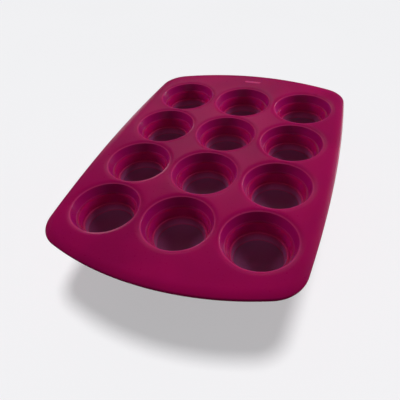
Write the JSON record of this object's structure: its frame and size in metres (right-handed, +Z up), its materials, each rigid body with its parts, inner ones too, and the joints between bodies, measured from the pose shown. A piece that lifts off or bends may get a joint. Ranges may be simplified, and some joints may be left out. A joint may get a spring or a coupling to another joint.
{
  "type": "muffin tray",
  "caption": "Collapsible silicone muffin tray: a flat deck with a wired edge and rows of stepped round cups, each of which pushes up and folds flat on a thin band",
  "frame": {"origin": "middle of the tray in plan, on the plane of the cups' flat undersides, on which the tray stands", "axes": "+X across the three columns of cups, +Y along the four rows towards the end with the raised mark, +Z up out of the cups' mouths"},
  "size_m": [0.264, 0.3774, 0.0312],
  "materials": {
    "silicone": "satin moulded silicone, deep crimson",
    "thin_silicone": "thin satin silicone that lets some light through, crimson",
    "wire": "drawn steel wire, hidden inside the bead"
  },
  "bodies": {
    "tray": {"tray_deck": "silicone", "edge_wire": "wire", "collar_a1": "silicone", "fold_a1": "thin_silicone", "collar_a2": "silicone", "fold_a2": "thin_silicone", "collar_a3": "silicone", "fold_a3": "thin_silicone", "collar_a4": "silicone", "fold_a4": "thin_silicone", "collar_b1": "silicone", "fold_b1": "thin_silicone", "collar_b2": "silicone", "fold_b2": "thin_silicone", "collar_b3": "silicone", "fold_b3": "thin_silicone", "collar_b4": "silicone", "fold_b4": "thin_silicone", "collar_c1": "silicone", "fold_c1": "thin_silicone", "collar_c2": "silicone", "fold_c2": "thin_silicone", "collar_c3": "silicone", "fold_c3": "thin_silicone", "collar_c4": "silicone", "fold_c4": "thin_silicone"},
    "cup_a1": {"cup_a1": "silicone"},
    "cup_a2": {"cup_a2": "silicone"},
    "cup_a3": {"cup_a3": "silicone"},
    "cup_a4": {"cup_a4": "silicone"},
    "cup_b1": {"cup_b1": "silicone"},
    "cup_b2": {"cup_b2": "silicone"},
    "cup_b3": {"cup_b3": "silicone"},
    "cup_b4": {"cup_b4": "silicone"},
    "cup_c1": {"cup_c1": "silicone"},
    "cup_c2": {"cup_c2": "silicone"},
    "cup_c3": {"cup_c3": "silicone"},
    "cup_c4": {"cup_c4": "silicone"}
  },
  "joints": [
    {"name": "push_a1", "type": "slide", "parent": "tray", "child": "cup_a1", "axis": [0, 0, 1], "range_m": [0, 0.0204], "deforming": ["fold_a1"]},
    {"name": "push_a2", "type": "slide", "parent": "tray", "child": "cup_a2", "axis": [0, 0, 1], "range_m": [0, 0.0204], "deforming": ["fold_a2"]},
    {"name": "push_a3", "type": "slide", "parent": "tray", "child": "cup_a3", "axis": [0, 0, 1], "range_m": [0, 0.0204], "deforming": ["fold_a3"]},
    {"name": "push_a4", "type": "slide", "parent": "tray", "child": "cup_a4", "axis": [0, 0, 1], "range_m": [0, 0.0204], "deforming": ["fold_a4"]},
    {"name": "push_b1", "type": "slide", "parent": "tray", "child": "cup_b1", "axis": [0, 0, 1], "range_m": [0, 0.0204], "deforming": ["fold_b1"]},
    {"name": "push_b2", "type": "slide", "parent": "tray", "child": "cup_b2", "axis": [0, 0, 1], "range_m": [0, 0.0204], "deforming": ["fold_b2"]},
    {"name": "push_b3", "type": "slide", "parent": "tray", "child": "cup_b3", "axis": [0, 0, 1], "range_m": [0, 0.0204], "deforming": ["fold_b3"]},
    {"name": "push_b4", "type": "slide", "parent": "tray", "child": "cup_b4", "axis": [0, 0, 1], "range_m": [0, 0.0204], "deforming": ["fold_b4"]},
    {"name": "push_c1", "type": "slide", "parent": "tray", "child": "cup_c1", "axis": [0, 0, 1], "range_m": [0, 0.0204], "deforming": ["fold_c1"]},
    {"name": "push_c2", "type": "slide", "parent": "tray", "child": "cup_c2", "axis": [0, 0, 1], "range_m": [0, 0.0204], "deforming": ["fold_c2"]},
    {"name": "push_c3", "type": "slide", "parent": "tray", "child": "cup_c3", "axis": [0, 0, 1], "range_m": [0, 0.0204], "deforming": ["fold_c3"]},
    {"name": "push_c4", "type": "slide", "parent": "tray", "child": "cup_c4", "axis": [0, 0, 1], "range_m": [0, 0.0204], "deforming": ["fold_c4"]}
  ]
}
